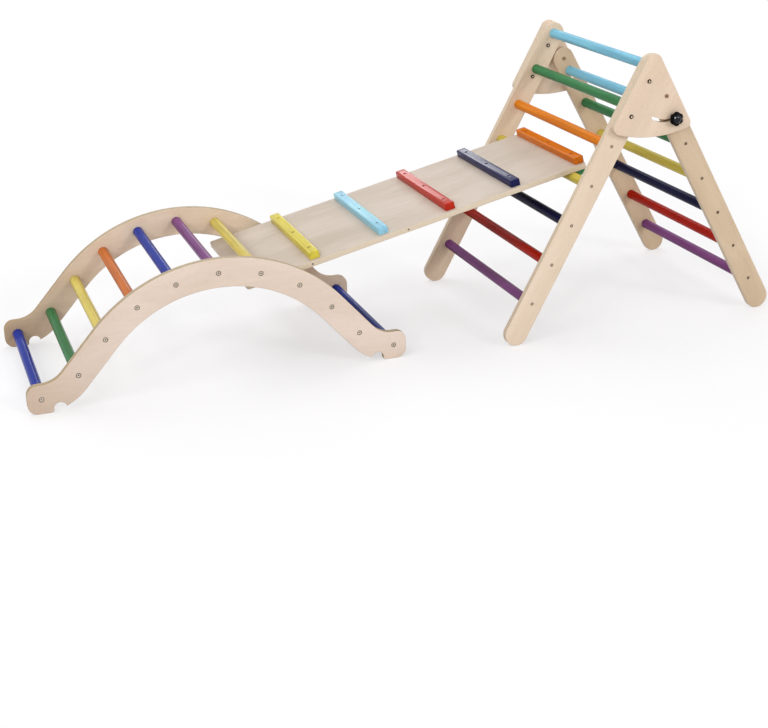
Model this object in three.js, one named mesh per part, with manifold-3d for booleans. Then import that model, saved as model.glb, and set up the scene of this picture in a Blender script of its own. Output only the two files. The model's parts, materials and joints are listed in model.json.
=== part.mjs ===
// A climbing set for small children: a rung arch, a cleated board and a folding ladder triangle.
// Millimetres, +Z up. X runs along the set from the arch to the triangle, Y runs across it.
// The origin lies on the floor under the middle of the set.
import * as THREE from 'three';
import { mergeVertices } from 'three/addons/utils/BufferGeometryUtils.js';
import Module from 'manifold-3d';

const wasm = await Module();
wasm.setup();

// Stock that the whole set shares
const plyThickness = 18;
const plyEase = 2;
const rungDiameter = 28;
const rungEndChamfer = 1.2;
const rungSeatDepth = 8;
const seatGap = 0.3;
const fitClearance = 0.3;
const cutOverrun = 5;

// Arch: a band of plywood on each side, shaped like a hill with flared feet
const archWidth = 505;
const archHeight = 340;
const archBand = 76;
const archTopRadius = 390;
const archShoulderAngle = 48.6;
const archFootRadius = 107;
const archToe = 38;
const archToeCorner = 26;
const archEndRungInset = 35;
const archRungCount = 11;
const notchRadius = 16;
const notchRise = 8;
const notchFromToe = 79;

// Triangle: two ladders of round-ended legs
const triangleWidth = 600;
const legWidth = 66;
const frontAngle = 60.8;
const openAngle = 57.4;
const frontLegReach = 797;
const ladderRungPitch = 117.6;
const rearRungStart = 43.6;
const pivotDrop = 52;
const legGap = 2.6;
const archToTriangle = 1185.5;

// Gusset plates that join the ladders, with the slot that the clamp bolt runs in
const gussetDrop = 207;
const gussetReach = 118;
const gussetBow = 17;
const gussetTopCorner = 23;
const gussetLowCorner = 20;
const gussetTipCorner = 16;
const gussetBowRadius = 360;
const gussetBoltDrop = 39.5;
const gussetBoltPitch = 103;
const clampDrop = 66.9;
const clampInset = 6.6;
const slotPlay = 0.6;

// Bolts and clamp knobs
const boltDiameter = 7;
const boltHeadDiameter = 12;
const boltHeadHeight = 2.4;
const boltHeadEase = 0.8;
const clampHeadDiameter = 16;
const clampHeadHeight = 3.2;
const knobDiameter = 37;
const knobLobeDepth = 3.6;
const knobLobes = 6;
const knobHeight = 15;
const knobEase = 3;
const knobHubDiameter = 20;
const knobHubHeight = 7;
const knobWall = 6;

// Board with cleats
const boardLength = 990;
const boardWidth = 400;
const boardThickness = 15;
const boardCorner = 8;
const boardEase = 1.5;
const cleatLength = 376;
const cleatWidth = 28;
const cleatHeight = 20;
const cleatEase = 5;
const cleatCount = 5;
const restRungIndex = 7;
const hookRungIndex = 3;

// Facets
const rungSides = 18;
const boreSides = 16;
const roundSteps = 6;
const cornerSteps = 4;
const archSteps = 12;
const footSteps = 6;
const slotSteps = 8;
const cleatSteps = 3;
const lobeSteps = 6;

// Colours and finishes
const birch = { color: 0xe0ccb4, roughness: 0.62, metalness: 0 };
const paint = {
  lightBlue: 0x7fbfe0,
  green: 0x2f7a45,
  orange: 0xe0762e,
  yellow: 0xd6cb48,
  navy: 0x1b1b38,
  red: 0xb5301f,
  purple: 0x7b4590,
  blue: 0x2f4496,
};
const paintFinish = { roughness: 0.38, metalness: 0 };
const boltSteel = { color: 0x4a4440, roughness: 0.4, metalness: 0.9 };
const knobPlastic = { color: 0x0c0c10, roughness: 0.22, metalness: 0 };
const archRungColours = ['blue', 'green', 'yellow', 'orange', 'blue', 'purple',
  'yellow', 'green', 'purple', 'orange', 'blue'];
const frontRungColours = ['lightBlue', 'green', 'orange', 'yellow', 'navy', 'red', 'purple'];
const rearRungColours = ['lightBlue', 'green', 'yellow', 'navy', 'red', 'purple'];
const cleatColours = ['yellow', 'lightBlue', 'red', 'navy', 'orange'];
const hookCleatColour = 'green';

// Sizes worked out from the ones above
const rungRadius = rungDiameter / 2;
const boltRadius = boltDiameter / 2;
const legRadius = legWidth / 2;
const pivotOffset = legWidth + legGap;
const front = THREE.MathUtils.degToRad(frontAngle);
const open = THREE.MathUtils.degToRad(openAngle);
const rearLean = Math.PI - front - open;
const topRungHeight = legRadius + frontLegReach * Math.sin(front);
const pivotHeight = topRungHeight - pivotDrop * Math.sin(front) - pivotOffset * Math.cos(front);
const rearLegReach = (pivotHeight - legRadius) / Math.sin(rearLean);
const slotRadius = Math.hypot(clampDrop, clampInset);
const slotFolded = -Math.atan2(clampInset, clampDrop);
const slotOpen = slotFolded + open;
const sides = [{ name: 'near', sign: -1 }, { name: 'far', sign: 1 }];

function finish(look) {
  return new THREE.MeshStandardMaterial(look);
}

function painted(name) {
  return finish({ color: paint[name], ...paintFinish });
}

function named(name, geometry, material) {
  const mesh = new THREE.Mesh(geometry, material);
  mesh.name = name;
  return mesh;
}

// Joins and cuts

function solidOf(geometry) {
  const bare = geometry.clone();
  bare.deleteAttribute('normal');
  bare.deleteAttribute('uv');
  const welded = mergeVertices(bare);
  return new wasm.Manifold(new wasm.Mesh({
    numProp: 3,
    vertProperties: new Float32Array(welded.attributes.position.array),
    triVerts: new Uint32Array(welded.index.array),
  }));
}

function geometryOf(solid) {
  const mesh = solid.getMesh();
  const geometry = new THREE.BufferGeometry();
  geometry.setAttribute('position', new THREE.BufferAttribute(mesh.vertProperties, mesh.numProp));
  geometry.setIndex(new THREE.BufferAttribute(mesh.triVerts, 1));
  geometry.computeVertexNormals();
  return geometry;
}

function cut(geometry, tools) {
  return geometryOf(tools.reduce((solid, tool) => solid.subtract(solidOf(tool)), solidOf(geometry)));
}

// Outlines

function arcPoints(x, y, radius, from, to, steps) {
  return Array.from({ length: steps + 1 }, (_, i) => {
    const angle = from + (to - from) * i / steps;
    return new THREE.Vector2(x + radius * Math.cos(angle), y + radius * Math.sin(angle));
  });
}

// A closed outline through corners { x, y, radius }, each rounded as far as its edges allow
function roundedOutline(corners, steps) {
  const count = corners.length;
  const points = corners.map((corner) => new THREE.Vector2(corner.x, corner.y));
  return corners.flatMap((corner, i) => {
    const here = points[i];
    if (corner.radius === 0) return [here];
    const back = points[(i + count - 1) % count].clone().sub(here);
    const ahead = points[(i + 1) % count].clone().sub(here);
    const half = Math.acos(back.dot(ahead) / (back.length() * ahead.length())) / 2;
    const wanted = corner.radius / Math.tan(half);
    const reach = Math.min(wanted, back.length(), ahead.length());
    const radius = reach * Math.tan(half);
    const start = here.clone().add(back.setLength(reach));
    const end = here.clone().add(ahead.setLength(reach));
    const inward = back.clone().add(ahead).setLength(radius / Math.sin(half));
    const centre = here.clone().add(inward);
    const from = start.sub(centre).angle();
    const sweep = THREE.MathUtils.euclideanModulo(end.sub(centre).angle() - from + Math.PI, 2 * Math.PI);
    return arcPoints(centre.x, centre.y, radius, from, from + sweep - Math.PI, steps);
  });
}

function roundEndedOutline(reach, radius) {
  return [
    ...arcPoints(reach, 0, radius, -Math.PI / 2, Math.PI / 2, 2 * roundSteps),
    ...arcPoints(0, 0, radius, Math.PI / 2, 3 * Math.PI / 2, 2 * roundSteps),
  ];
}

// An outline drawn in X and Z, made solid from y = start to start + thickness, with eased edges
function plank(outline, start, thickness, ease) {
  const geometry = new THREE.ExtrudeGeometry(new THREE.Shape(outline), {
    depth: thickness - 2 * ease,
    bevelEnabled: ease > 0,
    bevelThickness: ease,
    bevelSize: ease,
    bevelOffset: -ease,
    bevelSegments: 1,
  });
  return geometry.rotateX(Math.PI / 2).translate(0, start + thickness - ease, 0);
}

// A round cutter along Y from y = start to end
function bore(x, z, radius, start, end) {
  return new THREE.CylinderGeometry(radius, radius, Math.abs(end - start), boreSides)
    .translate(x, (start + end) / 2, z);
}

// Cuts that plates and rungs share

function rungSocket(x, z, side, innerFace) {
  const floor = side.sign * (innerFace + rungSeatDepth);
  const mouth = side.sign * (innerFace - cutOverrun);
  return bore(x, z, rungRadius + fitClearance, floor, mouth);
}

function boltHole(x, z, side, innerFace, outerFace) {
  return bore(x, z, boltRadius + fitClearance,
    side.sign * (innerFace - cutOverrun), side.sign * (outerFace + cutOverrun));
}

function sidePlate(outline, side, innerFace, thickness) {
  return plank(outline, side.sign > 0 ? innerFace : -innerFace - thickness, thickness, plyEase);
}

function rung(name, x, z, innerFace, colour) {
  const half = innerFace + rungSeatDepth - seatGap;
  const endRadius = rungRadius - rungEndChamfer;
  const profile = [
    new THREE.Vector2(0, -half),
    new THREE.Vector2(endRadius, -half),
    new THREE.Vector2(rungRadius, rungEndChamfer - half),
    new THREE.Vector2(rungRadius, half - rungEndChamfer),
    new THREE.Vector2(endRadius, half),
    new THREE.Vector2(0, half),
  ];
  const mesh = named(name, new THREE.LatheGeometry(profile, rungSides), painted(colour));
  mesh.position.set(x, 0, z);
  return mesh;
}

// Arch

const archInnerFace = archWidth / 2 - plyThickness;
const shoulder = THREE.MathUtils.degToRad(archShoulderAngle);
const archDrop = archHeight - archBand - (archTopRadius + archFootRadius) * (1 - Math.cos(shoulder));
const archFlank = archDrop / Math.sin(shoulder);
const archFootX = (archTopRadius + archFootRadius) * Math.sin(shoulder) + archFlank * Math.cos(shoulder);
const archFootZ = archFootRadius + archBand / 2;
const archTopZ = archHeight - archBand / 2 - archTopRadius;
const archHalfLength = archFootX + archToe;
const archMiddleReach = (archTopRadius + archFootRadius) * shoulder + archFlank + archToe;
const archRungPitch = (archMiddleReach - archEndRungInset) / ((archRungCount - 1) / 2);

// The middle line of the band at a distance along it from the crown
function archMiddle(along) {
  const way = Math.abs(along);
  const side = Math.sign(along);
  const arcEnd = archTopRadius * shoulder;
  const flankEnd = arcEnd + archFlank;
  if (way < arcEnd) {
    const angle = way / archTopRadius;
    return { x: side * archTopRadius * Math.sin(angle), z: archTopZ + archTopRadius * Math.cos(angle) };
  }
  if (way < flankEnd) {
    const run = way - arcEnd;
    return {
      x: side * (archTopRadius * Math.sin(shoulder) + run * Math.cos(shoulder)),
      z: archTopZ + archTopRadius * Math.cos(shoulder) - run * Math.sin(shoulder),
    };
  }
  const angle = Math.max(shoulder - (way - flankEnd) / archFootRadius, 0);
  const level = Math.max(way - flankEnd - archFootRadius * shoulder, 0);
  return {
    x: side * (archFootX - archFootRadius * Math.sin(angle) + level),
    z: archFootZ - archFootRadius * Math.cos(angle),
  };
}

// Half of the rail, from the crown's top edge round the toe to the crown's lower edge
function archHalfOutline() {
  const down = 3 * Math.PI / 2;
  const quarter = Math.PI / 2;
  const half = archBand / 2;
  const notchX = archHalfLength - notchFromToe;
  const lowRadius = archFootRadius + half;
  const notchAngle = Math.asin((archFootX - notchX) / lowRadius);
  const toeX = archHalfLength - archToeCorner;
  return [
    ...arcPoints(0, archTopZ, archTopRadius + half, quarter, quarter - shoulder, archSteps),
    ...arcPoints(archFootX, archFootZ, archFootRadius - half, down - shoulder, down, footSteps),
    ...arcPoints(toeX, archBand - archToeCorner, archToeCorner, quarter, 0, cornerSteps),
    ...arcPoints(toeX, archToeCorner, archToeCorner, 0, -quarter, cornerSteps),
    new THREE.Vector2(notchX, 0),
    ...arcPoints(archFootX, archFootZ, lowRadius, down - notchAngle, down - shoulder, footSteps),
    ...arcPoints(0, archTopZ, archTopRadius - half, quarter - shoulder, quarter, archSteps),
  ];
}

function archOutline() {
  const half = archHalfOutline();
  const mirrored = half.slice(1, -1).reverse().map((point) => new THREE.Vector2(-point.x, point.y));
  return [...half, ...mirrored];
}

function archRungPlaces() {
  const middle = (archRungCount - 1) / 2;
  return Array.from({ length: archRungCount }, (_, i) => archMiddle((i - middle) * archRungPitch));
}

function archRail(side) {
  const outerFace = archWidth / 2;
  const notchX = archHalfLength - notchFromToe;
  const sockets = archRungPlaces().map((place) => rungSocket(place.x, place.z, side, archInnerFace));
  const notches = [-notchX, notchX].map((x) => bore(x, notchRise, notchRadius,
    side.sign * (archInnerFace - cutOverrun), side.sign * (outerFace + cutOverrun)));
  const plate = sidePlate(archOutline(), side, archInnerFace, plyThickness);
  return named(`arch_rail_${side.name}`, cut(plate, [...sockets, ...notches]), finish(birch));
}

function makeArch() {
  const arch = new THREE.Group();
  sides.forEach((side) => arch.add(archRail(side)));
  archRungPlaces().forEach((place, i) => {
    const name = `arch_rung_${String(i + 1).padStart(2, '0')}`;
    arch.add(rung(name, place.x, place.z, archInnerFace, archRungColours[i % archRungColours.length]));
  });
  return arch;
}

// Ladders of the triangle. Each is drawn with X down its legs and Z out of its back face.

const legInnerFace = triangleWidth / 2 - plyThickness;
const legOuterFace = triangleWidth / 2;
const gussetInnerFace = legOuterFace + seatGap;
const gussetOuterFace = gussetInnerFace + plyThickness;

function ladderLeg(name, side, reach, rungDrops, boltPlaces) {
  const sockets = rungDrops.map((x) => rungSocket(x, 0, side, legInnerFace));
  const holes = boltPlaces.map(({ x, z }) => boltHole(x, z, side, legInnerFace, legOuterFace));
  const plate = sidePlate(roundEndedOutline(reach, legRadius), side, legInnerFace, plyThickness);
  return named(`${name}_leg_${side.name}`, cut(plate, [...sockets, ...holes]), finish(birch));
}

function ladder(name, reach, rungDrops, boltPlaces, colours) {
  const group = new THREE.Group();
  sides.forEach((side) => group.add(ladderLeg(name, side, reach, rungDrops, boltPlaces)));
  rungDrops.forEach((x, i) => {
    group.add(rung(`${name}_rung_${i + 1}`, x, 0, legInnerFace, colours[i % colours.length]));
  });
  return group;
}

// Rung places down a leg, as many as fit above the round of its foot
function rungDropsFrom(start, reach) {
  const count = Math.floor((reach - legRadius - start) / ladderRungPitch) + 1;
  return Array.from({ length: count }, (_, i) => start + i * ladderRungPitch);
}

const frontRungDrops = rungDropsFrom(0, frontLegReach);
const rearRungDrops = rungDropsFrom(rearRungStart, rearLegReach);
const gussetBoltPlaces = [{ x: gussetBoltDrop, z: 0 }, { x: gussetBoltDrop + gussetBoltPitch, z: 0 }];
const rearBoltPlaces = [{ x: 0, z: 0 }, { x: clampDrop, z: -clampInset }];

// Gusset plate: one edge flush with the front leg, one with the opened rear leg, and a bowed foot
function gussetOutline() {
  const edgeX = pivotDrop - legRadius * Math.sin(open);
  const edgeZ = pivotOffset + legRadius * Math.cos(open);
  const apexRun = (edgeZ + legRadius) / Math.sin(open);
  const apex = { x: edgeX - apexRun * Math.cos(open), y: -legRadius, radius: gussetTopCorner };
  const tip = {
    x: edgeX + gussetReach * Math.cos(open),
    y: edgeZ + gussetReach * Math.sin(open),
    radius: gussetTipCorner,
  };
  const low = { x: gussetDrop, y: -legRadius, radius: gussetLowCorner };
  const chord = Math.hypot(tip.x - low.x, tip.y - low.y);
  const bow = {
    x: (tip.x + low.x) / 2 + 2 * gussetBow * (tip.y - low.y) / chord,
    y: (tip.y + low.y) / 2 + 2 * gussetBow * (low.x - tip.x) / chord,
    radius: gussetBowRadius,
  };
  return roundedOutline([apex, low, bow, tip], roundSteps);
}

// Cutter for the slot about the pivot that lets the clamp bolt swing from open to folded
function slotCutter(side) {
  const half = boltRadius + slotPlay;
  const end = (angle, from) => arcPoints(slotRadius * Math.cos(angle), slotRadius * Math.sin(angle),
    half, from, from + Math.PI, roundSteps);
  const outline = [
    ...arcPoints(0, 0, slotRadius + half, slotFolded, slotOpen, slotSteps),
    ...end(slotOpen, slotOpen),
    ...arcPoints(0, 0, slotRadius - half, slotOpen, slotFolded, slotSteps),
    ...end(slotFolded, slotFolded + Math.PI),
  ];
  const depth = plyThickness + 2 * cutOverrun;
  const start = side.sign * (gussetInnerFace + gussetOuterFace) / 2 - depth / 2;
  return plank(outline, start, depth, 0).translate(pivotDrop, 0, pivotOffset);
}

function gusset(side) {
  const boltHoles = gussetBoltPlaces.map(({ x, z }) => boltHole(x, z, side, gussetInnerFace, gussetOuterFace));
  const pivotHole = boltHole(pivotDrop, pivotOffset, side, gussetInnerFace, gussetOuterFace);
  const plate = sidePlate(gussetOutline(), side, gussetInnerFace, plyThickness);
  return named(`gusset_${side.name}`, cut(plate, [...boltHoles, pivotHole, slotCutter(side)]), finish(birch));
}

// A turned piece about Y, mirrored onto its side of the set
function turned(name, profile, x, z, side, material) {
  const points = profile.map(([radius, y]) => new THREE.Vector2(radius, side.sign * y));
  const ordered = side.sign > 0 ? points : points.reverse();
  const mesh = named(name, new THREE.LatheGeometry(ordered, boreSides), material);
  mesh.position.set(x, 0, z);
  return mesh;
}

// Connector bolt with a low head on each face of the joint that it closes
function connectorBolt(name, x, z, side) {
  const head = boltHeadDiameter / 2;
  const inner = legInnerFace - seatGap;
  const outer = gussetOuterFace + seatGap;
  return turned(name, [
    [0, inner - boltHeadHeight],
    [head - boltHeadEase, inner - boltHeadHeight],
    [head, inner - boltHeadHeight + boltHeadEase],
    [head, inner],
    [boltRadius, inner],
    [boltRadius, outer],
    [head, outer],
    [head, outer + boltHeadHeight - boltHeadEase],
    [head - boltHeadEase, outer + boltHeadHeight],
    [0, outer + boltHeadHeight],
  ], x, z, side, finish(boltSteel));
}

const knobBase = gussetOuterFace + seatGap;
const knobTop = knobBase + knobHubHeight + knobHeight;
const clampBoltEnd = knobTop - knobWall;

// Clamp bolt: a flat round head inside the rear leg and a shank that ends in the knob
function clampBolt(side) {
  const head = clampHeadDiameter / 2;
  const inner = legInnerFace - seatGap;
  return turned(`clamp_bolt_${side.name}`, [
    [0, inner - clampHeadHeight],
    [head / 2, inner - clampHeadHeight],
    [head, inner - clampHeadHeight / 2],
    [head, inner],
    [boltRadius, inner],
    [boltRadius, clampBoltEnd - boltHeadEase],
    [boltRadius - boltHeadEase, clampBoltEnd],
    [0, clampBoltEnd],
  ], clampDrop, -clampInset, side, finish(boltSteel));
}

function starOutline() {
  const mean = (knobDiameter - knobLobeDepth) / 2;
  const count = knobLobes * lobeSteps;
  return Array.from({ length: count }, (_, i) => {
    const angle = 2 * Math.PI * i / count;
    const radius = mean + knobLobeDepth / 2 * Math.cos(knobLobes * angle);
    return new THREE.Vector2(radius * Math.cos(angle), radius * Math.sin(angle));
  });
}

// Star knob on a hub, with a blind hole for the bolt's end
function starKnob(side) {
  const star = plank(starOutline(), 0, knobHeight, knobEase).translate(0, knobHubHeight, 0);
  const hub = bore(0, 0, knobHubDiameter / 2, 0, knobHubHeight + knobHeight / 2);
  const hole = bore(0, 0, boltRadius + fitClearance, -cutOverrun, clampBoltEnd - knobBase + seatGap);
  const solid = solidOf(star).add(solidOf(hub)).subtract(solidOf(hole));
  const mesh = named(`knob_${side.name}`, geometryOf(solid), finish(knobPlastic));
  mesh.position.set(clampDrop, side.sign * knobBase, -clampInset);
  mesh.rotation.x = side.sign > 0 ? 0 : Math.PI;
  return mesh;
}

function makeRearLadder() {
  const rear = ladder('rear', rearLegReach, rearRungDrops, rearBoltPlaces, rearRungColours);
  sides.forEach((side) => rear.add(clampBolt(side), starKnob(side)));
  rear.position.set(pivotDrop, 0, pivotOffset);
  rear.rotation.y = -open;
  return rear;
}

function makeTriangle() {
  const triangle = ladder('front', frontLegReach, frontRungDrops, gussetBoltPlaces, frontRungColours);
  sides.forEach((side) => {
    triangle.add(gusset(side), connectorBolt(`pivot_bolt_${side.name}`, pivotDrop, pivotOffset, side));
    gussetBoltPlaces.forEach(({ x, z }, i) => {
      triangle.add(connectorBolt(`gusset_bolt_${side.name}_${i + 1}`, x, z, side));
    });
  });
  triangle.add(makeRearLadder());
  triangle.position.set(0, 0, topRungHeight);
  triangle.rotation.y = Math.PI - front;
  return triangle;
}

// Board, drawn with X up its slope and Z out of its top face, from the ladder rung that it hooks on

const boardEnd = rungRadius + seatGap + cleatWidth;
const boardUnderside = rungRadius + seatGap;
const boardTop = boardUnderside + boardThickness;
const cleatPitch = (boardLength - cleatWidth / 2) / cleatCount;

function boardGeometry() {
  const foot = boardEnd - boardLength;
  const halfWidth = boardWidth / 2;
  const corners = [[foot, -halfWidth], [boardEnd, -halfWidth], [boardEnd, halfWidth], [foot, halfWidth]]
    .map(([x, y]) => ({ x, y, radius: boardCorner }));
  return plank(roundedOutline(corners, cornerSteps), -boardTop, boardThickness, boardEase)
    .rotateX(-Math.PI / 2);
}

// A bar with a flat base at z = 0 and rounded upper edges all round
function cleatGeometry() {
  const section = (length) => roundedOutline([
    { x: -length / 2, y: 0, radius: 0 },
    { x: length / 2, y: 0, radius: 0 },
    { x: length / 2, y: cleatHeight, radius: cleatEase },
    { x: -length / 2, y: cleatHeight, radius: cleatEase },
  ], cleatSteps);
  const across = plank(section(cleatWidth), -cleatLength / 2, cleatLength, 0);
  const along = plank(section(cleatLength), -cleatWidth / 2, cleatWidth, 0).rotateZ(Math.PI / 2);
  return geometryOf(solidOf(across).intersect(solidOf(along)));
}

function makeBoard() {
  const group = new THREE.Group();
  group.add(named('ramp_board', boardGeometry(), finish(birch)));
  Array.from({ length: cleatCount }, (_, i) => i + 1).forEach((place) => {
    const colour = cleatColours[(place - 1) % cleatColours.length];
    const cleat = named(`ramp_cleat_${place}`, cleatGeometry(), painted(colour));
    cleat.position.set(boardEnd - boardLength + place * cleatPitch, 0, boardTop + seatGap);
    group.add(cleat);
  });
  const hook = named('ramp_hook_cleat', cleatGeometry(), painted(hookCleatColour));
  hook.position.set(boardEnd - cleatWidth / 2, 0, boardUnderside - seatGap);
  hook.rotation.x = Math.PI;
  group.add(hook);
  return group;
}

// The set: the board's slope follows from the two rungs that it lies on

const arch = makeArch();
arch.position.x = -archToTriangle;
const triangle = makeTriangle();
const board = makeBoard();

const restRung = archRungPlaces()[restRungIndex];
const hookDrop = frontRungDrops[hookRungIndex];
const hookX = -hookDrop * Math.cos(front);
const hookZ = topRungHeight - hookDrop * Math.sin(front);
board.position.set(hookX, 0, hookZ);
board.rotation.y = -Math.atan2(hookZ - restRung.z, hookX - restRung.x + archToTriangle);

const leftEnd = -archToTriangle - archHalfLength;
const rearFootX = pivotOffset * Math.sin(front) - pivotDrop * Math.cos(front)
  + rearLegReach * Math.cos(rearLean);
const rightEnd = rearFootX + legRadius;

const climbingSet = new THREE.Group();
climbingSet.add(arch, triangle, board);
climbingSet.position.x = -(leftEnd + rightEnd) / 2;
climbingSet.updateMatrixWorld(true);

export default climbingSet;
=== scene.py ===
import json
from itertools import count
from math import acos, atan2, cos, hypot, pi, radians, sin, tan

import bmesh
import bpy
from mathutils import Matrix, Vector
from mathutils.geometry import tessellate_polygon


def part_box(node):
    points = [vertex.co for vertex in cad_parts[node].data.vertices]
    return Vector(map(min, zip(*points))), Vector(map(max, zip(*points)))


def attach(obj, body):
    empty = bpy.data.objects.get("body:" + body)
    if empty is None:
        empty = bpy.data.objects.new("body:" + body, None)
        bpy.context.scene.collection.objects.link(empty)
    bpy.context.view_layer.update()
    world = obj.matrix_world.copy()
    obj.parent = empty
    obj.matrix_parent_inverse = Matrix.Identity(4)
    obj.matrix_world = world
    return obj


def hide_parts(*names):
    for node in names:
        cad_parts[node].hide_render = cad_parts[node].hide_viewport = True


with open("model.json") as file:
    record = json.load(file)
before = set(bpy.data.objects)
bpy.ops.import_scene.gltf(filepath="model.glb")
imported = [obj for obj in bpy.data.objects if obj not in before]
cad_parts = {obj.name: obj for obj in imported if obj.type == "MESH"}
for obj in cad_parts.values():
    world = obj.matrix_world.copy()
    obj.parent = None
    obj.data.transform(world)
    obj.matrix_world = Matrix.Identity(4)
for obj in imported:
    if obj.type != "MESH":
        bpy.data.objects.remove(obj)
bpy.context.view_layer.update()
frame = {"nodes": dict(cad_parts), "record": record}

MM = 0.001
SIDES = (("near", -1), ("far", 1))

# The photograph's frame, and the camera fitted to it
IMAGE_WIDTH = 768
IMAGE_HEIGHT = 728
SENSOR_WIDTH = 36
FOCAL_LENGTH_PX = 1470.5
OPTICAL_AXIS_ROW = 249.8
VIEW_AZIMUTH = 19.63
VIEW_ELEVATION = 17.94
VIEW_ROLL = -1.37
VIEW_TARGET = Vector((-15 * MM, 0, 219 * MM))
VIEW_DISTANCE = 4089 * MM
VIEW_REACH = 60

# Arch rails
ARCH_BAND = 76 * MM
ARCH_TOP_RADIUS = 390 * MM
ARCH_SHOULDER = radians(48.6)
ARCH_FOOT_RADIUS = 107 * MM
ARCH_TOE = 38 * MM
ARCH_TOE_CORNER = 26 * MM
NOTCH_RADIUS = 16 * MM
NOTCH_RISE = 8 * MM
NOTCH_LIP = 6 * MM
NOTCH_FROM_TOE = 79 * MM

# Ladders and gussets
LEG_RADIUS = 33 * MM
OPEN_ANGLE = radians(57.4)
GUSSET_DROP = 207 * MM
GUSSET_REACH = 118 * MM
GUSSET_BOW = 17 * MM
GUSSET_CORNERS = (23 * MM, 20 * MM, 360 * MM, 16 * MM)
CLAMP_DROP = 66.9 * MM
CLAMP_INSET = 6.6 * MM
SLOT_RADIUS = hypot(CLAMP_DROP, CLAMP_INSET)
SLOT_FOLDED = -atan2(CLAMP_INSET, CLAMP_DROP)
SLOT_HALF_WIDTH = 4.1 * MM

# Rungs and their sockets
RUNG_RADIUS = 14 * MM
RUNG_CHAMFER = 1.2 * MM
SOCKET_DEPTH = 8 * MM
SOCKET_CLEARANCE = 0.3 * MM

# Board and cleats
BOARD_LENGTH = 990 * MM
BOARD_THICKNESS = 15 * MM
BOARD_CORNER = 8 * MM
SEAT_GAP = 0.3 * MM
CLEAT_LENGTH = 376 * MM
CLEAT_WIDTH = 28 * MM
CLEAT_HEIGHT = 20 * MM
CLEAT_CORNER = 3.5 * MM

# Rounded edges of the flat pieces: the radius at +y and the one at -y
PLY_EASES = (2 * MM, 2 * MM)
BOARD_EASES = (1.5 * MM, 1.5 * MM)
CLEAT_EASES = (3.5 * MM, 0.5 * MM)
SLOT_EASES = (0.7 * MM, 0.7 * MM)

# Steps of the curves, and the angle from which an edge shades sharp
EASE_STEPS = 4
CORNER_STEPS = 8
LIP_STEPS = 8
TOE_STEPS = 12
SLOT_END_STEPS = 12
NOTCH_STEPS = 20
FOOT_STEPS = 20
ROUND_STEPS = 28
WELL_SIDES = 36
ARCH_STEPS = 48
TURNED_SIDES = 48
SHARP_ANGLE = radians(32)


# Colours

def srgb(red, green, blue):
    """A colour given in the photograph's 0 to 255 steps, as linear light."""
    steps = (red / 255, green / 255, blue / 255)
    linear = [s / 12.92 if s <= 0.04045 else ((s + 0.055) / 1.055) ** 2.4 for s in steps]
    return (*linear, 1.0)


WHITE = (1.0, 1.0, 1.0, 1.0)
PALEST_PAINT = 0.8
PAINTS = {
    "light_blue": srgb(130, 196, 224),
    "green": srgb(62, 127, 78),
    "orange": srgb(236, 130, 28),
    "yellow": srgb(206, 186, 80),
    "navy": srgb(14, 15, 56),
    "red": srgb(169, 25, 4),
    "purple": srgb(126, 72, 127),
    "blue": srgb(28, 49, 147),
}
ARCH_PAINTS = {
    **PAINTS,
    "green": srgb(58, 120, 71),
    "orange": srgb(198, 107, 42),
    "yellow": srgb(214, 194, 98),
}
CLEAT_PAINTS = {
    **PAINTS,
    "light_blue": srgb(148, 206, 234),
    "red": srgb(184, 42, 22),
    "orange": srgb(214, 114, 18),
    "yellow": srgb(212, 196, 72),
    "navy": srgb(25, 27, 78),
}
FLECKS = srgb(170, 134, 100)
GLUE_LINES = srgb(136, 102, 70)
# The dark tone that painted shade mixes into the rails' wood at the arch's end of the set
PAINTED_SHADE_TONE = srgb(152, 118, 74)


def shaded(colour, share, lift=0.0):
    """A colour times share plus lift, and never paler than paint gets."""
    return (*[min(share * c + lift, PALEST_PAINT) for c in colour[:3]], 1.0)


# Patterns. Each noise has its repeats per metre along the fibre, through the thickness and across,
# its detail, and where they matter its roughness and its distortion.

BIRCH_FIGURE = ((2.6, 9, 9), 3.0, 0.55, 0.8)
BIRCH_STREAKS = ((9, 90, 260), 3.0, 0.6)
BIRCH_FIBRES = ((36, 400, 1300), 2.0, 0.6)
BIRCH_FLECKS = ((150, 300, 800), 1.0, 0.4)
PLY_WOBBLE = ((9, 9, 9), 2.0)
PAINT_CLOUD = ((9, 30, 30), 2.0, 0.5, 0.4)
PAINT_STREAKS = ((3, 110, 110), 2.0)
PAINT_FIBRES = ((26, 620, 620), 3.0, 0.6)
STEEL_PATCHES = ((260, 260, 260), 3.0)
PLASTIC_PEEL = ((420, 420, 420), 2.0)
PLASTIC_WEAR = ((60, 60, 60), 3.0)

# Spans that a value crosses from none to full: first the one that nearly all of a noise lies in
NOISE_SPAN = (0.3, 0.7)
FIGURE_SPAN = (0.28, 0.72)
FLECK_SPAN = (0.66, 0.76)
SHEEN_SPAN = (0.25, 0.75)
PAINT_STREAK_SPAN = (0.45, 0.70)
PAINT_FIBRE_SPAN = (0.56, 0.72)
STEEL_SPAN = (0.35, 0.7)
WEAR_SPAN = (0.4, 0.7)
# The glue's span, in plies from the middle of one, and the cut edge's, in the edge attribute
GLUE_SPAN = (0.40, 0.48)
EDGE_SPAN = (0.55, 0.95)
FULL_SPAN = (0.0, 1.0)
# Contour lines per unit of the birch figure, times 2 pi
FIGURE_CONTOURS = 58.0
# Added to the count of plies: it stays above zero, and the middle ply lies about y = 0
FIRST_PLY = 100.5
# The part of the set, along x, over which the painted shade at the arch's end fades out
PAINTED_SHADE_REACH = (-1.04, -0.76)


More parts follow.
